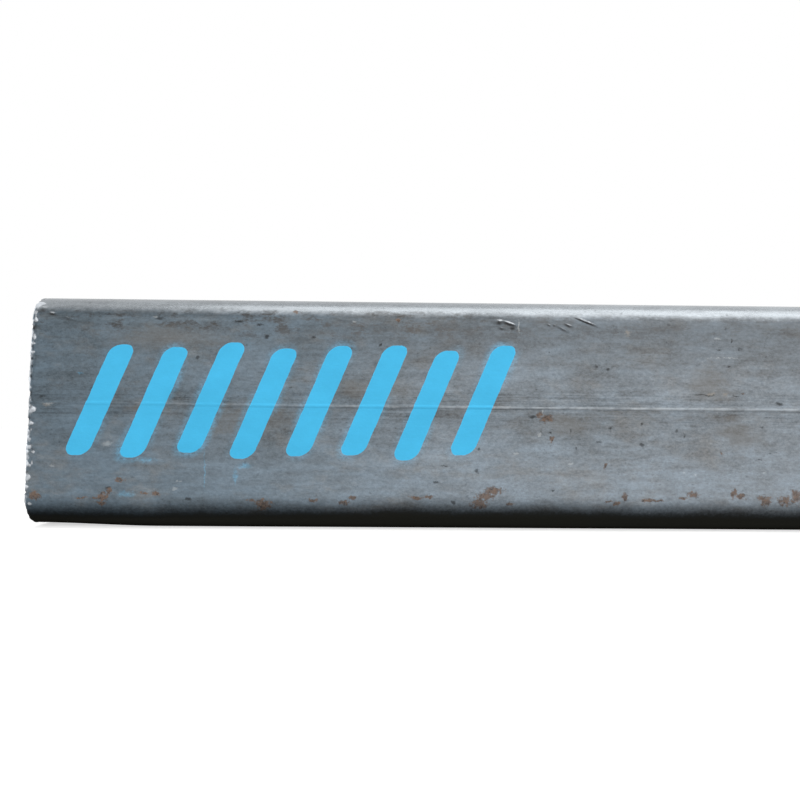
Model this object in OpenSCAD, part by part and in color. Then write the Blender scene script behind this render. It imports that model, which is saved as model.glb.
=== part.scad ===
// Square steel tube: a bar of cold-formed, seam-welded hollow section that lies
// along X on a level floor. Millimetres, +Z up, with the origin on the floor under
// the middle of the bar. A strip of steel is rolled to a square with rounded
// corners, and its two edges are welded together near the middle of the front face.
// The weld is scarfed to a thin ridge outside, and keeps its whole bead inside.

/* [Section] */
// Width of each side of the square, measured over the flats
side = 100; // [60:1:200]
// Thickness of the wall
wall = 6; // [2:0.5:8]
// Outside radius of the four rolled corners
corner_r = 12.5; // [9:0.5:18]

/* [Length] */
// Length of the bar from saw cut to saw cut
tube_length = 1000; // [200:10:6000]

/* [Weld seam] */
// Height of the seam above the middle of the front face
seam_offset = 4; // [-10:0.5:10]
// Width of the ridge that scarfing leaves outside
ridge_w = 1.6; // [1:0.1:6]
// Height of that ridge above the front face
ridge_h = 0.3; // [0.1:0.05:0.5]
// Width of the weld bead inside
bead_w = 4.5; // [2:0.25:8]
// Height of the weld bead above the wall's inner face
bead_h = 1.2; // [0.5:0.1:2]

/* [Hidden] */

// The least number of sides on a drawn circle.
$fn = 96;

// A square of the given width, centred, whose corners are arcs.
module rounded_square(width, radius) {
    flat = width - 2 * radius;
    square([width, flat], center = true);
    square([flat, width], center = true);
    for (x = [-1, 1], y = [-1, 1])
        translate([x * flat / 2, y * flat / 2])
            circle(r = radius);
}

// A low crown that stands on the X axis and grows towards +Y: the cap of a circle,
// `width` wide at the axis and `height` high. Its foot reaches half a wall below
// the axis, so that it is fused with the steel that it stands on.
module crown(width, height) {
    radius = (width * width / 4 + height * height) / (2 * height);
    foot = wall / 2;
    intersection() {
        translate([0, height - radius])
            circle(r = radius);
        translate([-width, -foot])
            square([2 * width, foot + height]);
    }
}

// The section as seen from the bar's +X end: its own X is the bar's Y, and its own
// Y is height, counted from the middle. The seam is on its left, at -X.
module tube_section() {
    difference() {
        union() {
            rounded_square(side, corner_r);
            translate([-side / 2, seam_offset])
                rotate(90)
                    crown(ridge_w, ridge_h);
        }
        difference() {
            rounded_square(side - 2 * wall, corner_r - wall);
            translate([-side / 2 + wall, seam_offset])
                rotate(-90)
                    crown(bead_w, bead_h);
        }
    }
}

// The bar: the section drawn out along X, resting on the floor.
module square_tube() {
    color("slategray")
        translate([-tube_length / 2, 0, side / 2])
            rotate([90, 0, 90])
                linear_extrude(height = tube_length)
                    tube_section();
}

square_tube();
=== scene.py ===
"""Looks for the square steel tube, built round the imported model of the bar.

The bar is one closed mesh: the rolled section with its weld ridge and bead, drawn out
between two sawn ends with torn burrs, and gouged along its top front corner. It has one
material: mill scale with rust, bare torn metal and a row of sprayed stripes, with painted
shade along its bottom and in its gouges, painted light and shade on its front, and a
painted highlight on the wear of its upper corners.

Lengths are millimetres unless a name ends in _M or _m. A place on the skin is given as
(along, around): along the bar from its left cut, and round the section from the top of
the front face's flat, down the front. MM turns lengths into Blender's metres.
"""

import itertools
import math
from types import SimpleNamespace

import bpy
import numpy as np
from mathutils import Matrix, Vector


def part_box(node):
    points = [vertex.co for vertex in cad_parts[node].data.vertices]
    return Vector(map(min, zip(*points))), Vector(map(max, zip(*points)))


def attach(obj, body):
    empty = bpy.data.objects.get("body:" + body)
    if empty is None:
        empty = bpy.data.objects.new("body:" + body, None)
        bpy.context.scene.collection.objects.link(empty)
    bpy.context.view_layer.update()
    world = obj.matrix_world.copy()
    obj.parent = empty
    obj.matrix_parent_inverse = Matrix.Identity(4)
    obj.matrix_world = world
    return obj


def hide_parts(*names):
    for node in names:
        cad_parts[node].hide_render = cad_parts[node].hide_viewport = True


MM = 0.001
NODE = "square_tube"

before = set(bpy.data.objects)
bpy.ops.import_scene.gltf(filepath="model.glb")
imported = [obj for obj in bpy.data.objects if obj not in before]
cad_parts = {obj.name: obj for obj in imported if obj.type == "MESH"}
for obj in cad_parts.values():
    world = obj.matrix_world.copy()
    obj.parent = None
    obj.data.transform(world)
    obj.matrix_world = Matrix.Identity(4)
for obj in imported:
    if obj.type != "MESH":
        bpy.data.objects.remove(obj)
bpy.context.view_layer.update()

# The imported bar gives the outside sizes. The rest repeats the bar's source.
LOW, HIGH = (np.array(corner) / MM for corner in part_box(NODE))
LENGTH = HIGH[0] - LOW[0]
SIDE = HIGH[2] - LOW[2]
HALF = SIDE / 2
RIDGE_H = -HALF - LOW[1]
WALL = 6.0
CORNER_R = 12.5
SEAM_UP = 4.0
RIDGE_W = 1.6
BEAD_W = 4.5
BEAD_H = 1.2

FLAT = SIDE - 2 * CORNER_R
ARC = CORNER_R * math.pi / 2
ROUND = 4 * (ARC + FLAT)
SEAM_AT = FLAT / 2 - SEAM_UP
SEAM_Z = HALF + SEAM_UP

# The rolled seam strays below its line, by STRAY_AT_CUT at the left cut and by STRAY
# past the stretch STRAYED. Over the stretch BACK it comes back to its line.
STRAY_AT_CUT = 0.45
STRAY = 0.95
STRAYED = (40, 110)
BACK = (400, 700)


# ------------------------------------------------------------ numbers for the shapes


def hashed(seed, *cells):
    """A number from 0 to 1 for each lattice cell, the same on every run."""
    h = np.full(np.broadcast(*cells).shape, seed, np.uint64)
    with np.errstate(over="ignore"):
        for cell in cells:
            h = h * np.uint64(6364136223846793005) + cell.astype(np.int64).astype(np.uint64)
            h ^= h >> np.uint64(29)
            h *= np.uint64(0xBF58476D1CE4E5B9)
            h ^= h >> np.uint64(32)
    return (h >> np.uint64(11)).astype(float) / 2.0**53


def noise(seed, *places):
    """Smooth lattice noise from 0 to 1, with one cell per unit of each place."""
    places = np.broadcast_arrays(*places)
    cells = [np.floor(p) for p in places]
    eased = [(p - c) ** 2 * (3 - 2 * (p - c)) for p, c in zip(places, cells)]
    total = 0.0
    for corner in itertools.product((0, 1), repeat=len(places)):
        weight = 1.0
        for far, e in zip(corner, eased):
            weight = weight * (e if far else 1 - e)
        total = total + weight * hashed(seed, *(c + far for c, far in zip(cells, corner)))
    return total


def smooth(value, low, high):
    """0 below low, 1 above high, and an even curve between them."""
    t = np.clip((value - low) / (high - low), 0, 1)
    return t * t * (3 - 2 * t)


def crown(distance, width, height):
    """The height of a circle's cap at a distance from its middle."""
    radius = (width**2 / 4 + height**2) / (2 * height)
    cap = np.sqrt(np.maximum(radius**2 - distance**2, 0)) - (radius - height)
    return np.where(np.abs(distance) < width / 2, cap, 0.0)


def spaced(*marks):
    """Numbers from the first mark to just before the last. A mark is a number and the
    step that follows it."""
    stretches = []
    for (start, step), (end, _) in zip(marks, marks[1:]):
        count = max(1, round((end - start) / step))
        stretches.append(start + (end - start) * np.arange(count) / count)
    return np.concatenate(stretches)


def on_skin(along, around):
    """Where a place on the front or on one of its two corners is, in the bar's frame."""
    turn = (min(around, 0) + max(around - FLAT, 0)) / CORNER_R
    y = -(HALF - CORNER_R) - CORNER_R * math.cos(turn)
    z = SIDE - CORNER_R - min(max(around, 0), FLAT) - CORNER_R * math.sin(turn)
    return LOW[0] + along, y, z


# ------------------------------------------------------------ the rolled section


class Loop:
    """Points round the section: where each lies on the square that the corners turn
    about, which way its surface faces, and how far round it is."""

    def __init__(self, top_corner, front, corner, side):
        """Takes the marks for spaced() on the top front corner and on the front flat, and
        the steps on the other corners and the other flats."""
        spine, facing, around = [], [], []
        inner = HALF - CORNER_R
        travelled = -ARC
        for quarter in range(4):
            start = math.radians(90 + 90 * quarter)
            before = np.array([math.cos(start), math.sin(start)])
            after = np.array([-before[1], before[0]])
            arc = spaced((0, corner), (ARC, 0)) if quarter else spaced(*top_corner) + ARC
            angles = start + arc / CORNER_R
            spine.append(np.tile(inner * (before + after), (len(arc), 1)))
            facing.append(np.stack([np.cos(angles), np.sin(angles)], 1))
            around.append(travelled + arc)
            travelled += ARC
            flat = spaced((0, side), (FLAT, 0)) if quarter else spaced(*front)
            spine.append(inner * after + np.outer(flat - FLAT / 2, -before))
            facing.append(np.tile(after, (len(flat), 1)))
            around.append(travelled + flat)
            travelled += FLAT
        self.spine = np.concatenate(spine)
        self.facing = np.concatenate(facing)
        self.around = np.concatenate(around)
        self.count = len(self.around)

    def ring(self, x, inset):
        """Points at x whose surface is inset from the outline. Either may vary round it."""
        flat = self.spine + self.facing * (CORNER_R - np.asarray(inset)).reshape(-1, 1)
        return np.column_stack([np.broadcast_to(x, self.count), flat[:, 0], flat[:, 1] + HALF])


# Marks for spaced() down the front face: small steps under the top corner, at the seam's
# ridge and at its bead.
TOP_MARKS = [(0, 0.34), (4.4, 1.0), (8, 2.0)]
SEAM_MARKS = [(SEAM_AT - 2, 0.25), (SEAM_AT + 2, 2.5)]
BEAD_MARKS = [(SEAM_AT - 3, 0.5), (SEAM_AT + 4, 6.0)]
# The points of the skin, of the sawn ends and of the bore.
SKIN = Loop([(-ARC, 1.3), (-8, 0.34), (0, 0)], [*TOP_MARKS, *SEAM_MARKS, (FLAT, 0)], 2.0, 6.0)
EDGE = Loop([(-ARC, 0.42), (0, 0)], [(0, 0.38), (FLAT, 0)], 0.6, 1.1)
BORE = Loop([(-ARC, 2.0), (0, 0)], [(0, 6.0), *BEAD_MARKS, (FLAT, 0)], 2.0, 8.0)
# Marks for spaced() along the skin, with small steps where the corner is gouged.
STATIONS = [(12, 0.8), (22, 3.0), (199, 0.34), (211, 1.5), (220, 0.34), (246, 3.0), (350, 8.0)]


# ------------------------------------------------------------ relief of the skin

# Gouges on the top front corner and a few farther along: the place, half the length and
# half the width, the slope in degrees, and the depth.
GOUGES = [
    (237.6, -2.9, 4.2, 0.38, 24, 0.55),
    (200.5, -2.0, 1.4, 0.85, 5, 0.30),
    (204.9, -1.4, 2.6, 0.52, 20, 0.42),
    (201.6, 0.8, 1.0, 0.42, 5, 0.24),
    (221.8, -1.0, 1.0, 0.38, 20, 0.20),
    (224.2, -0.9, 0.7, 0.36, 20, 0.16),
    (227.7, 0.8, 2.8, 0.46, 27, 0.17),
    (230.3, -0.9, 1.7, 0.44, 22, 0.28),
    (4.6, -5.8, 2.0, 1.10, 5, 0.34),
    (9.6, -3.9, 1.2, 0.50, 10, 0.50),
    (16.7, -1.6, 3.6, 0.55, 15, 0.13),
    (131.5, -2.8, 1.6, 0.40, 18, 0.20),
    (470.0, -3.8, 4.0, 0.80, 15, 0.35),
    (655.0, 21.0, 12.0, 0.90, -8, 0.25),
    (742.0, 51.0, 9.0, 0.90, 30, 0.25),
    (880.0, -3.5, 5.0, 0.80, 18, 0.40),
]
# How high a gouge's lip is, as a share of its depth.
LIP = 0.5
# The skin's waves: a seed, their height, and how long and how wide they are.
WAVES = [(3, 0.13, 210, 60), (5, 0.05, 45, 23)]
# How far the lower front corner is pressed in at the left cut, the stretch along the bar
# that this fades over, and the stretches round the section that it starts and ends over.
PINCH = 1.3
PINCH_ALONG = (55, 0)
PINCH_START = (72, 84)
PINCH_END = (125, 100)


def smear(along, around, at, long, wide, slope):
    """1 at a place on the skin, falling away along and across a slope."""
    c, s = math.cos(math.radians(slope)), math.sin(math.radians(slope))
    dx, dy = along - at[0], around - at[1]
    return np.exp(-(((c * dx + s * dy) / long) ** 2) - ((c * dy - s * dx) / wide) ** 2)


def gouged(along, around):
    """How deep the gouges are at each point, and how high their lips."""
    deep = lip = 0.0
    for at_along, at_around, long, wide, slope, depth in GOUGES:
        deep = deep + depth * smear(along, around, (at_along, at_around), long, wide, slope)
        above = (at_along + 0.6 * wide, at_around - 1.5 * wide)
        lip = lip + LIP * depth * smear(along, around, above, 0.95 * long, 0.6 * wide, slope)
    return deep, lip


def seam_at(along):
    """Where round the section the seam is."""
    stray = STRAY_AT_CUT + (STRAY - STRAY_AT_CUT) * smooth(along, *STRAYED)
    return SEAM_AT + stray * (1 - smooth(along, *BACK))


def room(around):
    """How far the skin may stand out and stay in the bar's box. Only the front face has
    room, by the ridge's height."""
    front = (around > -0.4 * ARC) & (around < FLAT + 0.4 * ARC)
    return np.where(front, RIDGE_H, 0.0)


def relief(along, around):
    """How far the skin stands out from the true section, and its gouges' depth and lips."""
    sway = sum(high * noise(seed, along / long, around / wide) for seed, high, long, wide in WAVES)
    deep, lip = gouged(along, around)
    # the ridge is worn in places, and most near the left cut
    wear = 0.55 + 0.45 * noise(11, along / 26) * smooth(noise(12, along / 7), 0.1, 0.5)
    wear = wear * (0.45 + 0.55 * smooth(along, 60, 260))
    height = lip - deep - sway + crown(around - seam_at(along), RIDGE_W, RIDGE_H) * wear
    return np.minimum(height, room(around)), deep, lip


def pinch(along, around):
    """How far the lower front corner is pressed in near the left cut."""
    here = PINCH * smooth(along, *PINCH_ALONG)
    return here * smooth(around, *PINCH_START) * smooth(around, *PINCH_END)


# ------------------------------------------------------------ the mesh


class Shape:
    """A mesh gathered ring by ring. Each point also has marks: how torn and bright it is,
    how dark with painted shade in a crevice, how far inside the bore, and how freshly sawn."""

    def __init__(self):
        self.points, self.marks, self.faces, self.total = [], [], [], 0

    def add(self, points, torn=0.0, soot=0.0, bore=0.0, sawn=0.0):
        """Adds a ring of points and returns their numbers."""
        count = len(points)
        marks = np.column_stack([np.broadcast_to(m, count) for m in (torn, soot, bore, sawn)])
        self.points.append(points)
        self.marks.append(marks)
        self.total += count
        return np.arange(self.total - count, self.total)

    def join(self, a, b):
        """Faces between two rings with as many points. They face out from the bar's
        middle line where b lies further along +X."""
        a2, b2 = np.roll(a, -1), np.roll(b, -1)
        self.faces.append(np.stack([a, b, b2, a2], 1))

    def zip(self, a, at_a, b, at_b):
        """Triangles between rings with different numbers of points, paired where they
        are equally far round."""
        ends_a = np.append(at_a, at_a[0] + ROUND)
        ends_b = np.append(at_b, at_b[0] + ROUND)
        made, i, j = [], 0, 0
        while i < len(a) or j < len(b):
            first, second = a[i % len(a)], b[j % len(b)]
            if j == len(b) or (i < len(a) and ends_a[i + 1] <= ends_b[j + 1]):
                i += 1
                made.append((first, second, a[i % len(a)]))
            else:
                j += 1
                made.append((first, second, b[j % len(b)]))
        self.faces.append(np.array(made))

    def build(self, name):
        """Makes the mesh, with its marks as a colour attribute, and an object for it."""
        data = bpy.data.meshes.new(name)
        faces = [face for block in self.faces for face in block.tolist()]
        data.from_pydata((np.concatenate(self.points) * MM).tolist(), [], faces)
        marks = data.attributes.new("marks", "FLOAT_COLOR", "POINT")
        marks.data.foreach_set("color", np.concatenate(self.marks).astype(np.float32).ravel())
        data.shade_smooth()
        data.set_sharp_from_angle(angle=math.radians(50))
        piece = bpy.data.objects.new(name, data)
        bpy.context.collection.objects.link(piece)
        return piece


# How far the fine mesh of each end reaches in, how far the saw cut stands inside the box
# so that its burrs have room, and how far the left cut leans in at its top.
END = 8.0
CUT_IN = 0.45
CUT_LEAN = 1.8
# Where the rings of an end are: on the skin, on the cut's face, and in the bore.
SKIN_DEPTHS = (END, 6.4, 5.2, 4.4, 3.7, 3.1, 2.6, 2.2, 1.85, 1.5, 1.2, 0.9, 0.6, 0.35)
FACE_INSETS = (0.6, 1.3, 2.6, 4.0, 5.0, 5.6)
BORE_DEPTHS = (0.35, 0.9, 2.0, 4.0, END)
# On the skin, how high the burr's folds are, how deep its notches are, and how far the
# rest lies back.
FOLD_H = 0.22
NOTCH_DEPTH = 0.28
SKIN_BACK = 0.12
# How much less torn the left cut's skin is, apart from its flecks.
CALM = 0.12
# On the lip round the cut, how high the burr is, how deep its chips are, and how far the
# rest lies back.
BURR_H = 0.22
CHIP_DEPTH = 0.30
LIP_BACK = 0.06
# The stretches round the section between which the burr is rubbed off.
RUBBED_START = (74, 82)
RUBBED_END = (125, 112)
# Where the left cut's burr is folded over in bright flecks, or broken out: how far round,
# half how wide, and how much.
FLECKS_AT_CUT = [
    (-9.6, 1.4, 2.9), (-7.4, 1.0, 0.8), (-4.6, 1.8, 1.0), (-1.1, 1.3, 0.9), (4.1, 1.0, 0.6),
    (6.5, 1.3, 0.9), (8.9, 0.6, 1.0), (12.5, 0.7, 0.8), (27.7, 1.4, 0.5), (36.7, 1.4, 1.0),
    (42.7, 0.8, 1.0), (45.6, 1.3, 0.7), (49.2, 1.2, 0.7), (52.4, 1.9, 1.0), (54.9, 0.8, 0.8),
    (59.8, 2.3, 0.9), (65.6, 1.4, 1.0), (69.4, 0.9, 0.7), (76.6, 0.9, 0.9),
]
BREAKS_AT_CUT = [
    (1.3, 0.7, 0.8), (10.2, 0.7, 0.9), (29.7, 0.6, 0.7), (54.0, 0.3, 0.7), (63.5, 0.7, 0.9),
    (71.0, 0.7, 0.8),
]


def tear(seed, around, cell):
    """Torn metal round a cut, with sharp peaks and gaps, from 0 to 1."""
    peaks = noise(seed, around / cell) * noise(seed + 1, around / (3.1 * cell))
    teeth = np.abs(noise(seed + 2, around / (0.45 * cell)) - 0.5) * 2
    return np.clip(1.9 * peaks * (0.35 + 0.65 * teeth), 0, 1)


def nearby(around, places):
    """How much there is of places round the section, each fading to either side."""
    return sum(much * np.exp(-(((around - at) / half) ** 2)) for at, half, much in places)


class SawnEnd:
    """One end of the bar, from the skin over the cut and into the bore."""

    def __init__(self, shape, left):
        around = EDGE.around
        self.shape, self.left = shape, left
        self.seed = 100 if left else 200
        self.rings = []
        self.burr = tear(self.seed, around, 2.6)
        self.rubbed = smooth(around, *RUBBED_START) * smooth(around, *RUBBED_END)
        self.folds = nearby(around, FLECKS_AT_CUT) if left else 0.0
        self.breaks = nearby(around, BREAKS_AT_CUT) if left else 0.0
        self.bead = crown(around - seam_at(0 if left else LENGTH), BEAD_W, BEAD_H)

    def ring(self, depth, inset, **marks):
        """Adds a ring at a depth in from the end of the bar's box."""
        points = EDGE.ring(0.0, inset + pinch(depth if self.left else LENGTH - depth, EDGE.around))
        if self.left:
            lean = CUT_LEAN * points[:, 2] / SIDE * (1 - np.asarray(depth) / (END + CUT_IN))
            points[:, 0] = LOW[0] + depth + lean
        else:
            points[:, 0] = HIGH[0] - depth
        self.rings.append(self.shape.add(points, **marks))

    def skin(self):
        """The skin towards the cut, where the burr is smeared over its last millimetres."""
        around = EDGE.around
        reach = 0.9 + 2.2 * noise(self.seed + 50, around / 5) ** 2 + 1.3 * self.folds
        for depth in SKIN_DEPTHS:
            place = CUT_IN + depth
            height, deep, lip = relief(place if self.left else LENGTH - place, around)
            near = smooth(reach - depth, -0.4, 0.9)
            fine = noise(self.seed + 30, around / 1.1, depth / 0.8)
            lump = 0.42 * fine + 0.42 * noise(self.seed + 31, around / 2.7, depth / 1.7)
            lump = lump + 0.50 * self.folds - 0.30 * self.breaks - (CALM if self.left else 0.0)
            fold = smooth(lump, 0.44, 0.84) * near
            notch = smooth(lump, 0.20, 0.04) * near * smooth(depth, 3.2, 1.2)
            rim = smooth(depth, 1.8, 0.5) * smooth(fine, 0.15, 0.6)
            torn = np.maximum(fold, (0.40 + 0.5 * self.folds) * rim) * (1 - self.rubbed)
            stand = height + FOLD_H * fold - NOTCH_DEPTH * notch - SKIN_BACK * near
            pulled = (1 - smooth(depth, 0.2, 1.4)) * 0.5 * CUT_IN * self.burr
            # the burr's notches and the gouges are darkened with painted shade
            self.ring(
                place - pulled,
                -np.minimum(stand, room(around)),
                torn=np.clip(torn + 4.0 * lip, 0, 1),
                soot=np.clip(0.7 * notch + 2.4 * deep, 0, 0.85),
            )

    def lip(self):
        """The torn and chipped lip round the cut."""
        chip = smooth(tear(self.seed + 10, EDGE.around, 3.4), 0.45, 0.8) * (1 - 0.75 * self.rubbed)
        out = np.minimum(BURR_H * self.burr - CHIP_DEPTH * chip - LIP_BACK, room(EDGE.around))
        bright = np.clip(0.4 + 0.6 * self.burr + 0.5 * self.folds, 0, 1) * (1 - 0.8 * self.rubbed)
        outer = CUT_IN * (1 - self.burr) + 0.4 * chip
        inner = CUT_IN * (1 - 0.9 * self.burr) + 0.36 * chip
        # the chips are darkened with painted shade
        self.ring(outer, -out, torn=bright, soot=0.4 * chip, sawn=0.3)
        self.ring(inner, 0.25 - 0.6 * out, torn=0.5 * bright, sawn=1.0)

    def face(self):
        """The face of the cut with the saw's lines, and the lip round the bore."""
        around = EDGE.around
        for inset in FACE_INSETS:
            saw = 0.05 * noise(self.seed + 20, around / 1.1) + 0.03 * np.sin(4 * inset + around / 3)
            self.ring(CUT_IN + saw, inset + self.bead * smooth(inset, 2, WALL), sawn=1.0)
        torn = tear(self.seed + 40, around, 2.2)
        folded = WALL - 0.12 + self.bead + 0.1 * torn
        self.ring(CUT_IN * (1 - 0.7 * torn), folded, torn=0.9 * torn, bore=0.3, sawn=0.7)

    def mouth(self):
        """The first stretch of the bore."""
        for depth in BORE_DEPTHS:
            self.ring(CUT_IN + depth, WALL + self.bead, bore=min(1, 0.6 + depth / 4))

    def join(self):
        """Joins the rings, and returns the outermost and the innermost one."""
        rings = self.rings if self.left else self.rings[::-1]
        for a, b in zip(rings, rings[1:]):
            self.shape.join(b, a)
        return self.rings[0], self.rings[-1]


def sawn_end(shape, left):
    """Makes one end, and returns its outermost and its innermost ring."""
    end = SawnEnd(shape, left)
    end.skin()
    end.lip()
    end.face()
    end.mouth()
    return end.join()


# Where the ends' fine mesh meets the rest of the skin. The rings of the bore: how many,
# how far from the ends' last rings, and how wavy.
FIRST = CUT_IN + END
LAST = LENGTH - CUT_IN - END
BORE_RINGS = 60
BORE_GAP = 6.0
BORE_SWAY = 0.25


def skin_between(shape):
    """Makes the skin between the ends, and returns its first and its last ring."""
    rings = []
    for place in spaced((FIRST, 1.0), *STATIONS, (LAST, 0))[1:]:
        height, deep, lip = relief(place, SKIN.around)
        # the gouges' depths are darkened with painted shade, and their lips marked torn
        torn, soot = np.clip(4.5 * lip, 0, 1), np.clip(3.0 * deep - 1.5 * lip, 0, 0.85)
        inset = pinch(place, SKIN.around) - height
        rings.append(shape.add(SKIN.ring(LOW[0] + place, inset), torn=torn, soot=soot))
    for a, b in zip(rings, rings[1:]):
        shape.join(a, b)
    return rings[0], rings[-1]


def bore_between(shape):
    """Makes the bore between the ends, and returns its first and its last ring."""
    rings = []
    for place in np.linspace(FIRST + BORE_GAP, LAST - BORE_GAP, BORE_RINGS):
        bead = crown(BORE.around - seam_at(place), BEAD_W, BEAD_H)
        sway = BORE_SWAY * noise(41, place / 37, BORE.around / 29)
        swell = np.minimum(bead * (0.75 + 0.5 * noise(43, place / 14)), BEAD_H)
        inset = WALL + np.where(bead > 0, swell, sway) + pinch(place, BORE.around)
        rings.append(shape.add(BORE.ring(LOW[0] + place, inset), bore=1.0))
    for a, b in zip(rings, rings[1:]):
        shape.join(b, a)
    return rings[0], rings[-1]


def make_tube():
    """The whole bar: both ends, the skin between them, and the bore."""
    shape = Shape()
    left_out, left_in = sawn_end(shape, True)
    right_out, right_in = sawn_end(shape, False)
    first, last = skin_between(shape)
    shape.zip(left_out, EDGE.around, first, SKIN.around)
    shape.zip(last, SKIN.around, right_out, EDGE.around)
    first, last = bore_between(shape)
    shape.zip(first, BORE.around, left_in, EDGE.around)
    shape.zip(right_in, EDGE.around, last, BORE.around)
    return shape.build("tube")


# ------------------------------------------------------------ shader nodes


class Nodes:
    """Makes shader nodes in one tree. Fields and plain numbers can be mixed freely."""

    # a Mix node's sockets for its two colours and for the mixed one
    MIX_A = 6
    MIX_B = 7
    MIXED = 2

    def __init__(self, tree):
        self.tree = tree
        tree.nodes.clear()

    def add(self, kind, inputs=(), **settings):
        """Makes a node, sets its properties, and plugs or sets its inputs by name."""
        node = self.tree.nodes.new("ShaderNode" + kind)
        for name, value in settings.items():
            setattr(node, name, value)
        for name, value in dict(inputs).items():
            self.plug(value, node.inputs[name])
        return node

    def plug(self, value, socket):
        """Links a field or an output to a socket, or sets the socket to a plain value."""
        if isinstance(value, Field):
            self.tree.links.new(value.socket, socket)
        elif isinstance(value, bpy.types.NodeSocket):
            self.tree.links.new(value, socket)
        else:
            socket.default_value = value

    def field(self, node, output=0):
        """One of a node's outputs."""
        return Field(self, node.outputs[output])

    def math(self, operation, *values):
        """What a Math node makes of some values."""
        node = self.tree.nodes.new("ShaderNodeMath")
        node.operation = operation
        for value, socket in zip(values, node.inputs):
            self.plug(value, socket)
        return self.field(node)

    def noise(self, places, size, detail=2.0, gain=0.5, stretch=(1, 1, 1), seed=0.0):
        """Noise about 0, from -1 to 1, with lumps of a size in millimetres."""
        scale = [1 / (size * s) for s in stretch]
        moved = self.add("VectorMath", operation="MULTIPLY_ADD")
        self.plug(places, moved.inputs[0])
        moved.inputs[1].default_value = scale
        moved.inputs[2].default_value = (seed, 1.7 * seed, 0.6 * seed)
        node = self.add("TexNoise", {"Scale": 1.0, "Detail": detail, "Roughness": gain})
        self.plug(moved.outputs[0], node.inputs["Vector"])
        return self.field(node) * 2 - 1

    def mix(self, factor, a, b):
        """A colour between a and b."""
        node = self.add("Mix", data_type="RGBA")
        self.plug(factor, node.inputs["Factor"])
        for value, socket in ((a, node.inputs[self.MIX_A]), (b, node.inputs[self.MIX_B])):
            self.plug(value if isinstance(value, Field) else (*value, 1), socket)
        return self.field(node, self.MIXED)

    def warp(self, places, size, amount):
        """Places pushed about at random, by up to an amount, in lumps of a size."""
        lumps = self.add("VectorMath", operation="SCALE")
        self.plug(places, lumps.inputs[0])
        lumps.inputs["Scale"].default_value = 1 / size
        node = self.add("TexNoise", {"Scale": 1.0, "Detail": 2.0, "Roughness": 0.6})
        self.plug(lumps.outputs[0], node.inputs["Vector"])
        push = self.add("VectorMath", operation="MULTIPLY_ADD")
        self.plug(node.outputs["Color"], push.inputs[0])
        push.inputs[1].default_value = (4 * amount,) * 3
        push.inputs[2].default_value = (-2 * amount,) * 3
        moved = self.add("VectorMath", operation="ADD")
        self.plug(places, moved.inputs[0])
        self.plug(push.outputs[0], moved.inputs[1])
        return self.field(moved)

    def times(self, a, b):
        """A colour times another."""
        node = self.add("VectorMath", operation="MULTIPLY")
        self.plug(a, node.inputs[0])
        self.plug(b, node.inputs[1])
        return self.field(node)

    def tint(self, colour, amount):
        """A colour times a number."""
        node = self.add("VectorMath", operation="SCALE")
        self.plug(colour if isinstance(colour, Field) else tuple(colour), node.inputs[0])
        self.plug(amount, node.inputs["Scale"])
        return self.field(node)


class Field:
    """A number or a colour at every point of a surface, with arithmetic for numbers."""

    def __init__(self, nodes, socket):
        self.nodes, self.socket = nodes, socket

    def __add__(self, other):
        return self.nodes.math("ADD", self, other)

    def __sub__(self, other):
        return self.nodes.math("SUBTRACT", self, other)

    def __rsub__(self, other):
        return self.nodes.math("SUBTRACT", other, self)

    def __mul__(self, other):
        return self.nodes.math("MULTIPLY", self, other)

    def __truediv__(self, other):
        return self.nodes.math("DIVIDE", self, other)

    __radd__, __rmul__ = __add__, __mul__

    def size(self):
        """The number without its sign."""
        return self.nodes.math("ABSOLUTE", self)

    def least(self, other):
        """The smaller of two numbers."""
        return self.nodes.math("MINIMUM", self, other)

    def most(self, other):
        """The larger of two numbers."""
        return self.nodes.math("MAXIMUM", self, other)

    def rise(self, low, high):
        """0 below low and 1 above high, or the other way about where low is the larger."""
        ends = {"From Min": low, "From Max": high}
        node = self.nodes.add("MapRange", {"Value": self, **ends}, interpolation_type="SMOOTHSTEP")
        return self.nodes.field(node)


# ------------------------------------------------------------ the mill steel

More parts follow.
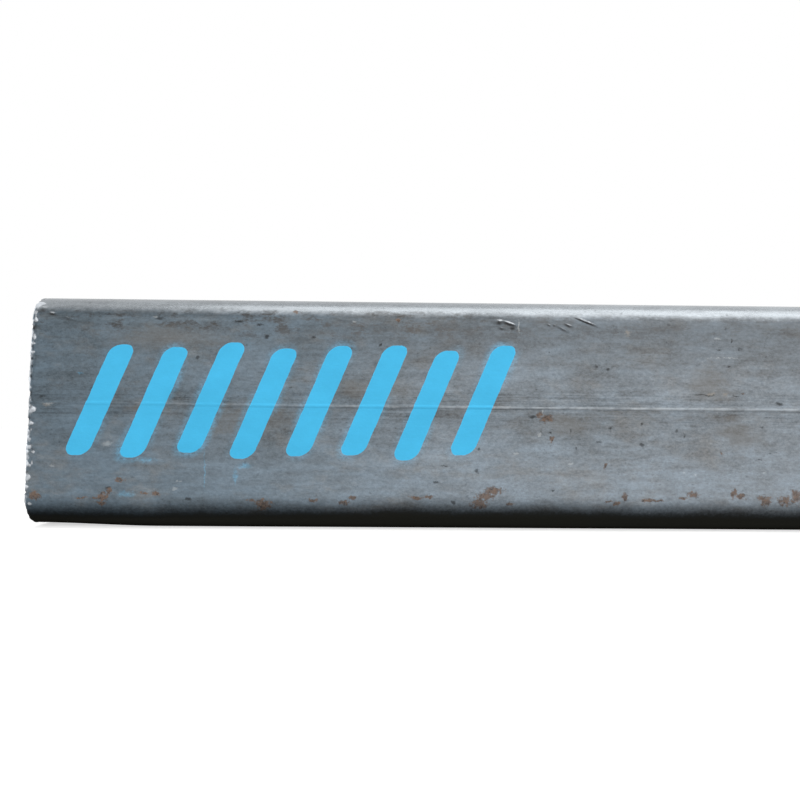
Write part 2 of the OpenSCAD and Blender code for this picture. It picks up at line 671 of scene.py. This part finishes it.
# Rust patches on the front: the place, half the length and half the height.
RUST = [
    (4.7, 73.2, 2.2, 1.7), (33.2, 73.4, 2.2, 1.7), (35.8, 71.0, 1.2, 1.1),
    (29.4, 74.0, 1.9, 0.5), (32.4, 76.2, 1.5, 0.8), (24.0, 73.9, 2.3, 0.4),
    (40.1, 66.4, 2.0, 0.8), (50.4, 71.8, 1.5, 0.6), (55.7, 71.9, 1.4, 1.0),
    (95.9, 74.6, 1.9, 0.7), (100.6, 76.2, 2.9, 2.1), (121.9, 74.2, 1.8, 0.6),
    (135.3, 75.2, 2.2, 0.9), (138.3, 73.2, 1.6, 0.9), (165.3, 73.0, 3.2, 0.6),
    (170.7, 72.6, 1.6, 0.7), (198.5, 69.8, 3.8, 1.5), (195.0, 72.2, 3.6, 1.5),
    (192.4, 75.4, 3.2, 1.9), (205.3, 75.6, 1.8, 0.7), (247.8, 74.2, 1.8, 0.5),
    (251.0, 75.0, 1.6, 0.7), (254.7, 72.0, 0.9, 1.4), (263.6, 73.4, 1.8, 0.7),
    (268.4, 73.6, 3.4, 0.4), (283.9, 71.0, 2.2, 1.0), (279.6, 72.5, 1.8, 0.5),
    (301.3, 70.2, 1.3, 1.7), (304.3, 71.8, 2.0, 1.1), (314.9, 73.2, 2.3, 2.0),
    (323.4, 73.2, 2.6, 1.8), (328.3, 71.8, 2.0, 2.6), (333.9, 73.6, 2.8, 1.4),
    (217.9, 37.6, 1.2, 1.3), (221.1, 38.8, 2.4, 1.4), (305.7, 27.8, 0.8, 0.5),
    (246.4, 59.0, 0.7, 1.1), (296.5, 53.2, 0.9, 0.6), (223.3, 47.4, 1.0, 1.4),
    (380.0, 71.0, 6.0, 2.0), (452.0, 74.0, 4.0, 2.4), (520.0, 69.0, 5.0, 1.6),
    (611.0, 73.0, 7.0, 2.4), (688.0, 75.0, 4.0, 1.4), (770.0, 70.0, 6.0, 2.2),
    (860.0, 73.5, 5.0, 2.0), (935.0, 71.0, 4.5, 2.6), (990.0, 74.0, 3.0, 2.2),
    (113.2, -6.1, 1.0, 0.8), (157.5, -2.8, 1.1, 0.8),
]
# Dark pits on the front, given in the same way.
PITS = [
    (174.1, 66.7, 1.5, 0.5), (192.0, 52.2, 0.6, 0.7), (181.5, 75.0, 1.0, 0.8),
    (69.1, 74.2, 1.2, 0.7), (215.1, 38.2, 1.6, 0.8), (223.0, 44.7, 0.8, 0.4),
    (231.5, 44.1, 0.5, 0.6), (248.5, 42.7, 0.7, 0.8), (243.4, 48.8, 0.9, 0.5),
    (233.6, 51.4, 0.5, 0.6), (262.1, 40.9, 0.5, 0.5), (302.7, 28.6, 1.4, 0.4),
    (321.4, 31.9, 1.6, 0.7), (288.9, 28.4, 4.6, 0.35), (206.4, 0.4, 1.1, 0.5),
    (7.0, 31.6, 1.6, 0.5), (177.5, 59.6, 1.4, 0.3), (223.9, 69.7, 0.6, 0.5),
    (312.5, 56.0, 1.5, 0.3), (35.0, 69.8, 1.0, 0.7), (298.5, -0.3, 0.6, 0.6),
    (301.2, 4.8, 0.5, 0.7), (304.6, 8.5, 1.2, 0.5), (295.6, 8.6, 1.1, 0.6),
    (299.8, 16.0, 0.7, 0.4), (247.3, 17.7, 1.0, 0.6), (222.3, 10.8, 0.7, 0.3),
    (281.4, 23.2, 0.8, 0.4), (317.0, 37.7, 1.9, 0.3), (314.1, 42.0, 0.7, 0.4),
    (317.1, 53.3, 0.6, 0.4), (280.4, 45.9, 0.4, 0.9), (192.6, 74.0, 2.0, 0.4),
    (101.1, 5.2, 1.2, 0.6), (121.2, 5.0, 0.9, 0.6), (149.5, 8.2, 0.6, 0.9),
    (151.2, 14.5, 1.8, 0.4), (55.6, -2.5, 1.8, 0.7), (88.9, -1.6, 2.2, 0.6),
    (98.5, -0.3, 1.4, 0.5), (33.4, -4.1, 1.6, 0.5),
]
# Pale scraped flecks on the front.
FLECKS = [
    (11.6, 60.7, 0.9, 0.4), (34.6, 51.2, 2.0, 1.2), (9.8, 34.2, 2.6, 0.4),
    (217.9, 45.6, 0.8, 0.8), (285.0, 62.5, 0.7, 0.5), (207.9, 54.0, 1.3, 0.4),
    (231.3, 58.4, 0.8, 0.4), (63.5, 70.2, 1.3, 0.7), (64.9, 66.6, 1.2, 0.4),
    (314.9, 61.4, 0.8, 0.5), (30.5, 78.8, 0.6, 0.4), (265.9, 79.2, 0.8, 0.3),
    (272.9, 80.6, 0.7, 0.5), (219.3, 36.4, 0.3, 1.4), (294.8, 4.0, 1.1, 0.5),
    (296.5, 12.3, 7.0, 0.22), (280.1, 61.3, 0.6, 0.4), (53.8, -3.0, 0.9, 0.5),
    (138.2, -1.9, 0.9, 0.4), (208.9, -0.6, 0.35, 2.6),
]
# Tan stains on the front, and wider places where its scale has browned.
STAINS = [
    (255.9, 1.8, 1.6, 1.3), (292.0, 27.6, 2.4, 0.7), (298.0, 28.0, 1.5, 0.8),
    (8.8, 34.8, 2.4, 0.6),
]
BROWNED = [
    (290.0, 24.0, 11.0, 7.0), (303.0, 44.5, 10.0, 6.5), (230.0, 41.5, 14.0, 4.0),
    (96.0, 41.0, 24.0, 6.5), (150.0, 27.0, 18.0, 4.0), (60.0, 6.0, 24.0, 5.0),
    (420.0, 40.0, 30.0, 8.0), (560.0, 22.0, 24.0, 9.0), (720.0, 52.0, 34.0, 7.0),
    (850.0, 30.0, 22.0, 10.0),
]
# Thin blue paint that ran or drifted outside the stripes.
RUNS = [
    (75.8, 61.6, 0.32, 8.6), (88.8, 64.4, 0.9, 3.4), (49.6, 57.8, 5.5, 1.5),
    (43.2, 72.4, 4.2, 1.4), (22.6, 21.2, 1.6, 0.4), (92.4, 60.0, 3.4, 1.2),
]

# How far the scratches are turned from the bar's length, in radians about Y and Z.
SCRATCH_TURN = (0, 0.16, 0.22)

# The sprayed stripes: how many, how far apart, where the first one's middle is along the
# bar, their width and height, how high their middles are, how far they lean for each
# millimetre up, and the radius of their corners.
STRIPES = 8
STRIPE_PITCH = 23.2
STRIPE_FIRST = 31.0
STRIPE_W = 10.5
STRIPE_H = 47.0
STRIPE_Z = 55.0
STRIPE_SLANT = 0.42
STRIPE_R = 4.2

# The heights, and the places across the bar, over which finishes fade in: the front face,
# the wear and painted highlight on both upper corners, the smudges under the front one,
# and the painted shade low on the bar, which turns near black further down. The places
# across the bar for the upper corners count from the middle to either side.
FRONT_Y = (-46.5, -48.5)
WEAR_AND_HIGHLIGHT_Z = (91.7, 95.5)
WEAR_AND_HIGHLIGHT_Y = (33, 39)
SMUDGE_BOTTOM_Z = (79, 87)
SMUDGE_TOP_Z = (95.5, 92)
SMUDGE_Y = (-36, -42)
LOW_SHADE_Z = (16.2, 6.6)
DARKEST_SHADE_Z = (9.8, 5.6)

# Colours, in linear light.
SCALE_DARK = (0.089, 0.116, 0.138)
SCALE_PALE = (0.181, 0.202, 0.221)
SCALE_BROWN = (0.162, 0.152, 0.139)
# lighter than the scale's real wear, painting the upper corners' highlight
WEAR_AND_HIGHLIGHT = (0.318, 0.344, 0.366)
SMUDGE = (0.044, 0.039, 0.035)
STAIN = (0.240, 0.210, 0.172)
BROWNING = (0.118, 0.106, 0.092)
RUST_DARK = (0.068, 0.047, 0.038)
RUST_BROWN = (0.198, 0.140, 0.107)
RUST_ORANGE = (0.285, 0.170, 0.105)
# near black, for the painted shade at the bottom of the bar
SHADE_BLACK = (0.030, 0.030, 0.025)
# for pits, and for painted shade in gouges, notches and chips
PIT_AND_SHADE_COLOUR = (0.034, 0.032, 0.031)
WARM = (1.045, 0.995, 0.955)
COOL = (0.965, 1.005, 1.040)
RIDGE_PALE = (0.400, 0.430, 0.450)
SEAM_BROWN = (0.105, 0.095, 0.085)
FLECK_COLOUR = (0.480, 0.500, 0.500)
BORE_SCALE = (0.075, 0.081, 0.088)
SAWN = (0.330, 0.332, 0.328)
SAWN_TINGE = (0.215, 0.165, 0.122)
BURR = (0.442, 0.466, 0.494)
BURR_TAN = (0.250, 0.212, 0.172)
PAINT = (0.083, 0.561, 0.915)


def spots(nodes, places, marks):
    """How far each point is from the nearest of some patches, where 1 is a patch's edge."""
    nearest = None
    for along, around, long, tall in marks:
        scale = (1 / long, 1 / tall, 1 / tall)
        squeezed = nodes.add("VectorMath", operation="MULTIPLY_ADD")
        nodes.plug(places, squeezed.inputs[0])
        squeezed.inputs[1].default_value = scale
        squeezed.inputs[2].default_value = [-p * s for p, s in zip(on_skin(along, around), scale)]
        length = nodes.add("VectorMath", operation="LENGTH")
        nodes.plug(squeezed.outputs[0], length.inputs[0])
        here = nodes.field(length, "Value")
        nearest = here if nearest is None else nearest.least(here)
    return nearest


def dots(nodes, places, cell, small, large, share):
    """1 in small dots, at most one to a cell, in a share of the cells."""
    cells = nodes.add("TexVoronoi", {"Vector": nodes.tint(places, 1 / cell), "Scale": 1.0})
    draw = nodes.field(nodes.add("SeparateColor", {"Color": cells.outputs["Color"]}))
    return (nodes.field(cells) * cell).rise(large, small) * draw.rise(1.02 - share, 1.06 - share)


def surface(nodes):
    """The fields that all the steel's layers are made from."""
    own = nodes.add("TexCoord")
    places = nodes.add("VectorMath", operation="SCALE")
    nodes.plug(own.outputs["Object"], places.inputs[0])
    places.inputs["Scale"].default_value = 1 / MM
    s = SimpleNamespace(places=nodes.field(places))
    s.x, s.y, s.z = (
        nodes.field(nodes.add("SeparateXYZ", {"Vector": s.places}), i) for i in range(3)
    )
    marks = nodes.add("Attribute", attribute_name="marks")
    split = nodes.add("SeparateColor", {"Color": marks.outputs["Color"]})
    s.torn, s.soot, s.bore = (nodes.field(split, i) for i in range(3))
    s.sawn = nodes.field(marks, "Alpha")
    s.front = s.y.rise(*FRONT_Y)
    s.along = s.x - LOW[0]
    stray = STRAY_AT_CUT + (STRAY - STRAY_AT_CUT) * s.along.rise(*STRAYED)
    s.over_seam = s.z - SEAM_Z + stray * (1 - s.along.rise(*BACK))
    s.mottle = nodes.noise(s.places, 16, 5, 0.75, stretch=(1.6, 1, 1), seed=11)
    s.streak = nodes.noise(s.places, 2.4, 3, 0.6, stretch=(7, 1, 1), seed=23)
    s.grain = nodes.noise(s.places, 0.9, 2, 0.7, stretch=(1.6, 1, 1), seed=37)
    s.warm = nodes.noise(s.places, 12, 4, 0.7, stretch=(2.0, 1, 1), seed=51)
    s.ragged = nodes.noise(s.places, 1.5, 4, 0.8, seed=83)
    s.pushed = nodes.warp(s.places, 1.8, 0.6)
    return s


def mill_scale(nodes, s):
    """Blue-grey scale with its grain, streaks and bands, lighter further along the bar, partly
    in its own tone and partly as painted light that falls off towards the left cut. Returns
    its colour and how far it is in the lighter, more lit stretch."""
    cloud = nodes.noise(s.places, 90, 2, 0.6, stretch=(2.0, 1, 1), seed=3)
    # lighter towards the right: partly the scale's own tone, partly painted light falling off
    # towards the left cut
    paler_and_lit = (s.along - 150 + 110 * cloud).rise(-160, 190)
    colour = nodes.mix(paler_and_lit, SCALE_DARK, SCALE_PALE)
    colour = nodes.mix(s.warm.rise(-0.05, 0.5) * 0.45, colour, SCALE_BROWN)
    specks = nodes.noise(s.places, 1.0, 2, 0.6, stretch=(1.7, 1, 1), seed=41)
    tone = 1 + 0.53 * s.mottle + 0.34 * s.streak + 0.40 * s.grain
    tone = tone - 0.30 * specks.rise(0.25, 0.6) + 0.17 * specks.rise(-0.25, -0.6)
    # painted shade, darker towards the top corner and less so right under it, painted light,
    # lighter and cooler low on the front, and grey bands where rolls and the scarfing passed
    upper = (0.08 + 0.32 * s.along.rise(0, 190)) * s.z.rise(56, 90)
    lift = 0.14 * s.along.rise(75, 130) * (1 - 0.6 * s.along.rise(260, 310))
    upper = upper - lift * s.z.rise(88.8, 91)
    beside = s.over_seam.size()
    rolled = nodes.noise(s.places, 0.7, 2, 0.6, stretch=(60, 1, 1), seed=61) * beside.rise(9, 5)
    bands = 0.16 * (beside + 2 * s.mottle).rise(36, 0) + 0.08 * (beside + 3 * s.mottle).rise(10, 3)
    bands = bands * (0.5 + 0.5 * s.along.rise(0, 130))
    # painted light: the lower front is made lighter and cooler
    lower = s.z.rise(48, 22) * s.front
    tone = tone * (1 - upper * s.front) + (0.34 * rolled - bands) * s.front + 0.12 * lower
    hue = nodes.mix(0.55 + 1.0 * s.mottle + 0.6 * s.streak + 0.25 * lower, WARM, COOL)
    return nodes.times(nodes.tint(colour, tone), hue), paler_and_lit


def corners(nodes, s, colour, paler_and_lit):
    """Pale wear on the upper corners, painted lighter still as their highlight, and brown
    smudges under the front one. Returns the colour and how much wear and painted highlight
    there is."""
    edge = s.z + 1.0 * s.ragged + 1.6 * s.mottle + 0.9 * s.along.rise(0, 200)
    wear_and_highlight = edge.rise(*WEAR_AND_HIGHLIGHT_Z) * s.y.size().rise(*WEAR_AND_HIGHLIGHT_Y)
    # the wear is painted lighter still as the corners' highlight, most towards the right
    rubbed = (0.86 + 0.24 * paler_and_lit) * (1 + 0.30 * s.mottle + 0.24 * s.streak + 0.28 * s.grain)
    colour = nodes.mix(wear_and_highlight, colour, nodes.tint(WEAR_AND_HIGHLIGHT, rubbed))
    smudge = nodes.noise(s.places, 4.0, 4, 0.8, stretch=(2.2, 1, 1), seed=131).rise(-0.02, 0.30)
    smudge = smudge * s.z.rise(*SMUDGE_BOTTOM_Z) * s.z.rise(*SMUDGE_TOP_Z) * s.y.rise(*SMUDGE_Y)
    smudge = smudge * (1 - 0.6 * s.along.rise(150, 230))
    brown = nodes.tint(SMUDGE, 1 + 0.6 * s.along.rise(70, 170))
    return nodes.mix(smudge * 0.75, colour, brown), wear_and_highlight * (1 - 0.8 * smudge)


def weld(nodes, s, colour):
    """The weld: a rubbed ridge, bright away from the left cut, with brown smudges under."""
    path = s.over_seam.size() + 0.25 * nodes.noise(s.places, 9, 2, 0.5, seed=71)
    ridge = path.rise(0.78, 0.34) * nodes.noise(s.places, 8, 3, 0.7, seed=73).rise(-0.6, 0.5)
    ridge = ridge * s.along.rise(0, 250) * s.front
    below = -1 * s.over_seam
    under = below.rise(0.4, 1.4) * below.rise(7, 2.5) * s.front
    under = under * nodes.noise(s.places, 6, 3, 0.7, stretch=(2, 1, 1), seed=77).rise(-0.1, 0.6)
    colour = nodes.mix(under * 0.55, colour, SEAM_BROWN)
    return nodes.mix(ridge * 0.45, colour, RIDGE_PALE)


def blemishes(nodes, s, colour):
    """Stains, pits, scraped flecks and scratches. Returns the colour and how much of it is
    pit."""
    browned = (spots(nodes, s.places, BROWNED) + 2.2 * s.warm + 0.5 * s.ragged).rise(1.4, 0.2)
    colour = nodes.mix(browned * 0.4, colour, BROWNING)
    stain = (spots(nodes, s.pushed, STAINS) + 1.2 * s.ragged).rise(1.3, 0.3)
    colour = nodes.mix(stain * 0.4, colour, STAIN)
    pit = (spots(nodes, s.pushed, PITS) + 0.8 * s.ragged).rise(1.5, 0.3)
    pit = pit.most(0.8 * dots(nodes, s.pushed, 17.0, 0.5, 1.1, 0.3))
    pit = pit.most(0.42 * dots(nodes, s.pushed, 5.2, 0.2, 0.8, 0.6))
    colour = nodes.mix(pit * 0.58, colour, PIT_AND_SHADE_COLOUR)
    fleck = (spots(nodes, s.pushed, FLECKS) + 0.9 * s.ragged).rise(1.5, 0.3)
    turned = nodes.add("VectorRotate", {"Vector": s.places}, rotation_type="EULER_XYZ")
    turned.inputs["Rotation"].default_value = SCRATCH_TURN
    line = nodes.noise(nodes.field(turned), 0.35, 1, 0.5, stretch=(110, 1, 1), seed=149)
    line = line.rise(0.46, 0.62) * nodes.noise(s.places, 34, 2, 0.5, seed=151).rise(0.12, 0.4)
    return nodes.mix(fleck * 0.27 + line * 0.15, colour, FLECK_COLOUR), pit


def rusted(nodes, s, colour):
    """Rust in its places on the front, and in blotches on the other sides. Returns the
    colour and how much of it is rust."""
    spread = nodes.noise(s.places, 10, 4, 0.75, stretch=(1.6, 1, 1), seed=91) + 0.25 * s.ragged
    spread = (spread - 0.14 * s.z.rise(15, 60)).rise(0.30, 0.46) * s.y.rise(-40, -30)
    rust = (spots(nodes, s.pushed, RUST) + 1.9 * s.ragged).rise(1.35, 0.65).most(spread)
    crust = nodes.noise(s.places, 1.1, 3, 0.75, seed=97)
    brown = nodes.mix(crust.rise(0.10, -0.40), RUST_BROWN, RUST_DARK)
    brown = nodes.mix((crust + 0.5 * s.warm).rise(-0.05, 0.45) * 0.8, brown, RUST_ORANGE)
    return nodes.mix(rust * 0.76, colour, brown), rust


def stripes(nodes, s):
    """How far each point of the front is outside the sprayed stripes, in millimetres."""
    wobble = 0.35 * nodes.noise(s.places, 5, 3, 0.6, seed=101)
    slid = (s.along - STRIPE_FIRST - (s.z - STRIPE_Z) * STRIPE_SLANT) / STRIPE_PITCH
    index = nodes.math("ROUND", slid).most(0).least(STRIPES - 1)
    across = ((slid - index) * STRIPE_PITCH + wobble).size() - (STRIPE_W / 2 - STRIPE_R)
    up = (s.z - STRIPE_Z + 1.3 * nodes.math("SINE", index * 2.4) + wobble).size()
    up = up - (STRIPE_H / 2 - STRIPE_R)
    far = nodes.math("SQRT", across.most(0) * across.most(0) + up.most(0) * up.most(0))
    return far + across.most(up).least(0) - STRIPE_R


def sprayed(nodes, s, colour):
    """Blue stripes with grainy overspray and runs. Returns the colour and where the paint
    is whole."""
    away = stripes(nodes, s) + 0.10 * s.ragged
    paint = away.rise(0.18, -0.18) * s.front
    drift = nodes.noise(s.places, 26, 1, 0.5, seed=103).rise(-0.1, 0.5)
    mist = away.rise(3.6, -0.4) * drift * 0.2
    runs = (spots(nodes, s.pushed, RUNS) + 0.6 * s.ragged).rise(1.4, 0.2) * 0.15
    thin = mist.most(runs) * (0.8 + 1.6 * s.grain).most(0) * s.front
    colour = nodes.mix(thin, colour, PAINT)
    return nodes.mix(paint, colour, nodes.tint(PAINT, 1 + 0.16 * s.mottle)), paint


def low_shade(nodes, s, colour):
    """Painted shade on the lower corners and under the bar, near black lowest. Returns the
    colour and how much painted shade there is."""
    above = s.z + 1.6 * s.ragged + 1.4 * s.mottle
    above = above + 1.8 * s.along.rise(170, 30) + 0.5 * s.along.rise(210, 290)
    low = above.rise(*LOW_SHADE_Z) * (1 - s.sawn)
    # painted shade: darker towards the bottom of the bar, and near black lowest
    colour = nodes.tint(colour, 1 - 0.9 * low)
    darkest_shade = above.rise(*DARKEST_SHADE_Z) * (1 - s.sawn)
    return nodes.mix(darkest_shade, colour, nodes.tint(SHADE_BLACK, 0.72 + 0.7 * s.z.rise(6, 1))), low


def cuts(nodes, s, colour, paint):
    """The bore, the sawn faces and torn bright metal at cuts and gouges. Returns the
    colour, how bare it is, and the saw's lines."""
    inside = nodes.tint(BORE_SCALE, 1 + 0.5 * s.mottle + 0.3 * s.grain)
    colour = nodes.mix(s.bore, colour, inside)
    lines = nodes.noise(s.places, 0.55, 3, 0.7, stretch=(1, 45, 1), seed=113) * s.sawn
    sawn = nodes.tint(SAWN, 1 + 0.75 * lines + 0.35 * s.mottle + 0.25 * s.grain)
    sawn = nodes.mix(s.warm.rise(0.0, 0.45) * 0.65, sawn, SAWN_TINGE)
    colour = nodes.mix(s.sawn, colour, sawn)
    # painted shade in gouges, notches and chips, but not on the paint
    colour = nodes.mix(s.soot * (1 - paint), colour, PIT_AND_SHADE_COLOUR)
    bare = (s.torn + 0.4 * s.ragged).rise(0.10, 0.62) * s.torn.rise(0.05, 0.3) * (1 - paint)
    burr = nodes.mix((s.warm + s.grain).rise(0.2, 0.9) * 0.6, BURR, BURR_TAN)
    # on the top corner the torn metal is painted lighter still: a painted highlight
    glint = 0.44 + (0.45 + 0.6 * s.z.rise(91, 96)) * s.torn + 0.45 * s.grain + 0.35 * s.ragged
    colour = nodes.mix(bare * 0.9, colour, nodes.tint(burr, glint.most(0.15)))
    return colour, bare, lines


def mill_steel():
    """The bar's one material, built up layer by layer."""
    material = bpy.data.materials.new("mill_steel")
    material.use_nodes = True
    nodes = Nodes(material.node_tree)
    s = surface(nodes)
    colour, paler_and_lit = mill_scale(nodes, s)
    colour, wear_and_highlight = corners(nodes, s, colour, paler_and_lit)
    colour = weld(nodes, s, colour)
    colour, pit = blemishes(nodes, s, colour)
    colour, rust = rusted(nodes, s, colour)
    colour, paint = sprayed(nodes, s, colour)
    # low is how much painted shade lies on the bottom of the bar
    colour, low = low_shade(nodes, s, colour)
    colour, bare, lines = cuts(nodes, s, colour, paint)

    dull = rust.most(low).most(paint).most(pit).most(s.soot)
    shine = bare.most(s.sawn).most(wear_and_highlight * (1 - rust) * (1 - pit)) * 0.85
    metallic = (0.55 - 0.55 * dull).most(shine)
    rough = 0.37 + 0.10 * s.mottle + 0.06 * s.grain + 0.4 * rust + 0.25 * low
    rough = rough - 0.10 * wear_and_highlight - 0.08 * bare + 0.06 * s.sawn
    height = 0.03 * s.grain + 0.03 * s.streak + 0.04 * s.mottle + 0.12 * lines
    bump = nodes.add("Bump", {"Height": height, "Distance": MM, "Strength": 0.7})
    shader = nodes.add(
        "BsdfPrincipled",
        {"Base Color": colour, "Metallic": metallic, "Roughness": rough, "Normal": bump.outputs[0]},
    )
    shader.inputs["Specular IOR Level"].default_value = 0.0
    out = nodes.add("OutputMaterial")
    nodes.plug(shader.outputs[0], out.inputs[0])
    return material


# ------------------------------------------------------------ floor, world and lamps


def shown(nodes):
    """1 for rays that the camera sees straight, in a reflection or through something."""
    path = nodes.add("LightPath")
    camera, glossy, through = (
        nodes.field(path, f"Is {kind} Ray") for kind in ("Camera", "Glossy", "Transmission")
    )
    return camera.most(glossy).most(through)


# The floor's radius, how pale it is and how much it glows where it is seen, how pale it
# is as a source of bounced light, and how strong the world's light is.
FLOOR_R_M = 3.0
FLOOR_PALE = 0.82
FLOOR_GLOW = 0.6
FLOOR_DARK = 0.10
AMBIENT = 0.55

# The lamps, in metres: the place, the target, the size along the bar and across it, and
# the radiance.
LAMPS = {
    "overhead": ((0.55, -0.31, 1.05), (0.55, -0.31, 0), (2.5, 0.80), 1.32),
    "front": ((0.1, -1.5, 0.60), (0.0, 0, 0.1), (2.8, 1.2), 1.95),
}


def make_floor():
    """White paper where it is seen, but dark where it would light the bar from below."""
    bpy.ops.mesh.primitive_circle_add(vertices=128, radius=FLOOR_R_M, fill_type="NGON")
    floor = bpy.context.object
    floor.name = "floor"
    material = bpy.data.materials.new("paper")
    material.use_nodes = True
    nodes = Nodes(material.node_tree)
    pale = nodes.add("BsdfDiffuse", {"Color": (FLOOR_PALE, FLOOR_PALE, FLOOR_PALE, 1)})
    glow = nodes.add("Emission", {"Strength": FLOOR_GLOW})
    white = nodes.add("AddShader")
    nodes.plug(pale.outputs[0], white.inputs[0])
    nodes.plug(glow.outputs[0], white.inputs[1])
    dark = nodes.add("BsdfDiffuse", {"Color": (FLOOR_DARK, FLOOR_DARK, FLOOR_DARK, 1)})
    both = nodes.add("MixShader", {0: shown(nodes), 1: dark.outputs[0], 2: white.outputs[0]})
    out = nodes.add("OutputMaterial")
    nodes.plug(both.outputs[0], out.inputs[0])
    floor.data.materials.append(material)


def make_world():
    """A white world where it is seen, and a dimmer one as a source of light."""
    world = bpy.data.worlds.new("studio")
    bpy.context.scene.world = world
    world.use_nodes = True
    nodes = Nodes(world.node_tree)
    strength = AMBIENT + (1 - AMBIENT) * shown(nodes)
    sky = nodes.add("Background", {"Color": (1, 1, 1, 1), "Strength": strength})
    out = nodes.add("OutputWorld")
    nodes.plug(sky.outputs[0], out.inputs[0])


def softbox(name, place_m, target_m, size_m, radiance):
    """A rectangular lamp that faces its target."""
    data = bpy.data.lights.new(name, "AREA")
    data.shape = "RECTANGLE"
    data.size, data.size_y = size_m
    data.energy = radiance * math.pi * size_m[0] * size_m[1]
    light = bpy.data.objects.new(name, data)
    bpy.context.collection.objects.link(light)
    place = Vector(place_m)
    turn = (Vector(target_m) - place).to_track_quat("-Z", "Y").to_matrix().to_4x4()
    light.matrix_world = Matrix.Translation(place) @ turn


# How far the camera is along the bar, off its front and above the floor, its angles in
# degrees, and its lens.
CAMERA_ALONG = 154.0
CAMERA_OFF = 277.0
CAMERA_Z = 47.0
CAMERA_PITCH = 1.85
CAMERA_YAW = -0.88
CAMERA_ROLL = 0.485
CAMERA_LENS = 29.25


def make_camera():
    """A hand-held camera close to the bar's left end, level with its side."""
    data = bpy.data.cameras.new("camera")
    data.lens = CAMERA_LENS
    data.clip_start = 0.01
    camera = bpy.data.objects.new("camera", data)
    bpy.context.collection.objects.link(camera)
    place = Vector((LOW[0] + CAMERA_ALONG, -HALF - CAMERA_OFF, CAMERA_Z)) * MM
    yaw = Matrix.Rotation(math.radians(CAMERA_YAW), 4, "Z")
    pitch = Matrix.Rotation(math.radians(90 + CAMERA_PITCH), 4, "X")
    roll = Matrix.Rotation(math.radians(CAMERA_ROLL), 4, "Z")
    camera.matrix_world = Matrix.Translation(place) @ yaw @ pitch @ roll
    bpy.context.scene.camera = camera


tube = make_tube()
tube.data.materials.append(mill_steel())
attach(tube, "root")
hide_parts(NODE)

make_floor()
make_world()
make_camera()
for name, lamp in LAMPS.items():
    softbox(name, *lamp)
bpy.context.scene.view_settings.view_transform = "Standard"
